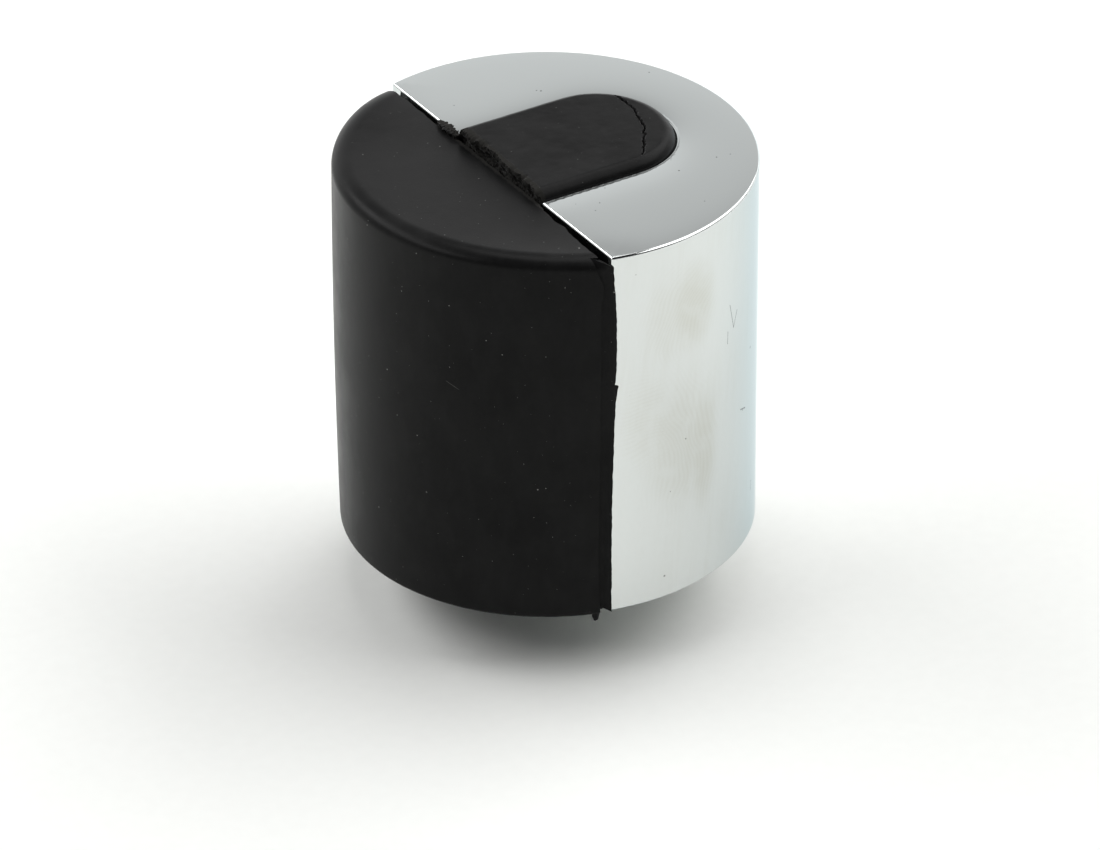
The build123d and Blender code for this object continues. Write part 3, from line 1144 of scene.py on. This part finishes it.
class DOORSTOP_OT_stage(bpy.types.Operator):
    """Set the white table, the soft light and the camera"""

    bl_idname = "doorstop.stage"
    bl_label = "Stage"

    def execute(self, context):
        scene = context.scene
        stage = scene.door_stop_stage
        scene.view_settings.view_transform = "Standard"

        def table_top(bm):
            bmesh.ops.create_circle(bm, cap_ends=True, radius=stage.table_radius, segments=TABLE_SEGMENTS)

        table = new_piece("table", table_top)
        table.data.materials.append(table_material(stage))

        ahead, right = self.place_camera(scene, stage)
        self.light_room(scene, stage, ahead, right)
        for name, setting, turn, height, size in LAMPS:
            turn, height = math.radians(turn), math.radians(height)
            level = ahead * math.cos(turn) + right * math.sin(turn)
            place = level * math.cos(height) + Vector((0, 0, math.sin(height)))
            self.soft_box(scene, name, place, size, getattr(stage, setting))
        return {"FINISHED"}

    def place_camera(self, scene, stage):
        """Camera that looks down at the part: gives the level ways ahead of it and to its right."""
        a, e = stage.azimuth, stage.elevation
        back = Vector((math.sin(a) * math.cos(e), -math.cos(a) * math.cos(e), math.sin(e)))
        right = Vector((math.cos(a), math.sin(a), 0.0))
        up = back.cross(right)
        seat = Vector((0.0, 0.0, scene.door_stop_sizes.seat_level))
        aim = seat + right * stage.aim_right + up * stage.aim_up

        data = bpy.data.cameras.new("camera")
        data.sensor_fit = "HORIZONTAL"
        data.sensor_width = 36.0
        data.lens = stage.lens
        data.clip_end = 20.0
        camera = bpy.data.objects.new("camera", data)
        turn = Matrix((right, up, back)).transposed()
        camera.matrix_world = Matrix.Translation(aim + back * stage.distance) @ turn.to_4x4()
        scene.collection.objects.link(camera)
        scene.camera = camera
        return Vector((-back.x, -back.y, 0.0)).normalized(), right

    def soft_box(self, scene, name, place, size, power):
        """Soft box that looks at the part."""
        data = bpy.data.lights.new(name, "AREA")
        data.shape = "RECTANGLE"
        data.size, data.size_y = size
        data.energy = power
        lamp = bpy.data.objects.new(name, data)
        lamp.location = place
        lamp.rotation_euler = (-place).to_track_quat("-Z", "Y").to_euler()
        scene.collection.objects.link(lamp)

    def light_room(self, scene, stage, ahead, right):
        """Room around the table: pale back wall that ends in a soft edge, dark on the near side."""
        world = bpy.data.worlds.new("room")
        world.use_nodes = True
        scene.world = world
        n = Nodes(world.node_tree)
        where = n.add("ShaderNodeTexCoord").outputs["Generated"]
        height = n.add("ShaderNodeSeparateXYZ", {0: where}).outputs["Z"]
        slanted = n.plus(height, n.times(n.vector("DOT_PRODUCT", where, right), ROOM_SLANT))
        ramp = n.add("ShaderNodeValToRGB", {0: slanted})
        points = ramp.color_ramp.elements
        while len(points) < len(ROOM_GREYS):
            points.new(0.5)
        for point, (place, grey) in zip(points, ROOM_GREYS):
            point.position = place
            point.color = (grey, grey, grey, 1.0)
        level = n.vector("NORMALIZE", n.vector("MULTIPLY", where, (1.0, 1.0, 0.0)))
        facing = n.vector("DOT_PRODUCT", level, ahead)
        glow = n.times(n.fade(facing, 0.6, 0.85), n.fade(height, 0.26, 0.12, 0.0, 1.2))
        wall = n.vector("ADD", ramp.outputs["Color"], glow)
        near_side = n.mix(n.fade(height, 0.2, 0.5), NEAR_SIDE_LOW, NEAR_SIDE_HIGH)
        room = n.mix(n.fade(facing, -0.1, 0.5), near_side, wall)
        shader = n.add("ShaderNodeBackground", {"Color": room, "Strength": stage.back_light})
        n.add("ShaderNodeOutputWorld", {"Surface": shader.outputs[0]})


class DOORSTOP_PT_sidebar(bpy.types.Panel):
    """Lists the pieces of the door stop and their settings"""

    bl_idname = "DOORSTOP_PT_sidebar"
    bl_label = "Door Stop"
    bl_space_type = "VIEW_3D"
    bl_region_type = "UI"
    bl_category = "Door Stop"

    def draw(self, context):
        shared = self.layout.box()
        shared.label(text="Shared sizes")
        for key in context.scene.door_stop_sizes.__annotations__:
            shared.prop(context.scene.door_stop_sizes, key)
        for operator, settings in (
            (DOORSTOP_OT_chromed_body, context.scene.door_stop_chrome),
            (DOORSTOP_OT_rubber_buffer, context.scene.door_stop_rubber),
            (DOORSTOP_OT_stage, context.scene.door_stop_stage),
        ):
            box = self.layout.box()
            box.operator(operator.bl_idname)
            for key in settings.__annotations__:
                box.prop(settings, key)


SETTINGS = {
    "door_stop_sizes": DoorStopSizes,
    "door_stop_rubber": DoorStopRubber,
    "door_stop_chrome": DoorStopChrome,
    "door_stop_stage": DoorStopStage,
}
CLASSES = (
    *SETTINGS.values(),
    DOORSTOP_OT_chromed_body,
    DOORSTOP_OT_rubber_buffer,
    DOORSTOP_OT_stage,
    DOORSTOP_PT_sidebar,
)


def register():
    for cls in CLASSES:
        bpy.utils.register_class(cls)
    for name, group in SETTINGS.items():
        setattr(bpy.types.Scene, name, bpy.props.PointerProperty(type=group))


def unregister():
    for name in SETTINGS:
        delattr(bpy.types.Scene, name)
    for cls in reversed(CLASSES):
        bpy.utils.unregister_class(cls)


def main():
    register()
    bpy.ops.doorstop.chromed_body()
    bpy.ops.doorstop.rubber_buffer()
    bpy.ops.doorstop.stage()


if __name__ == "__main__":
    main()
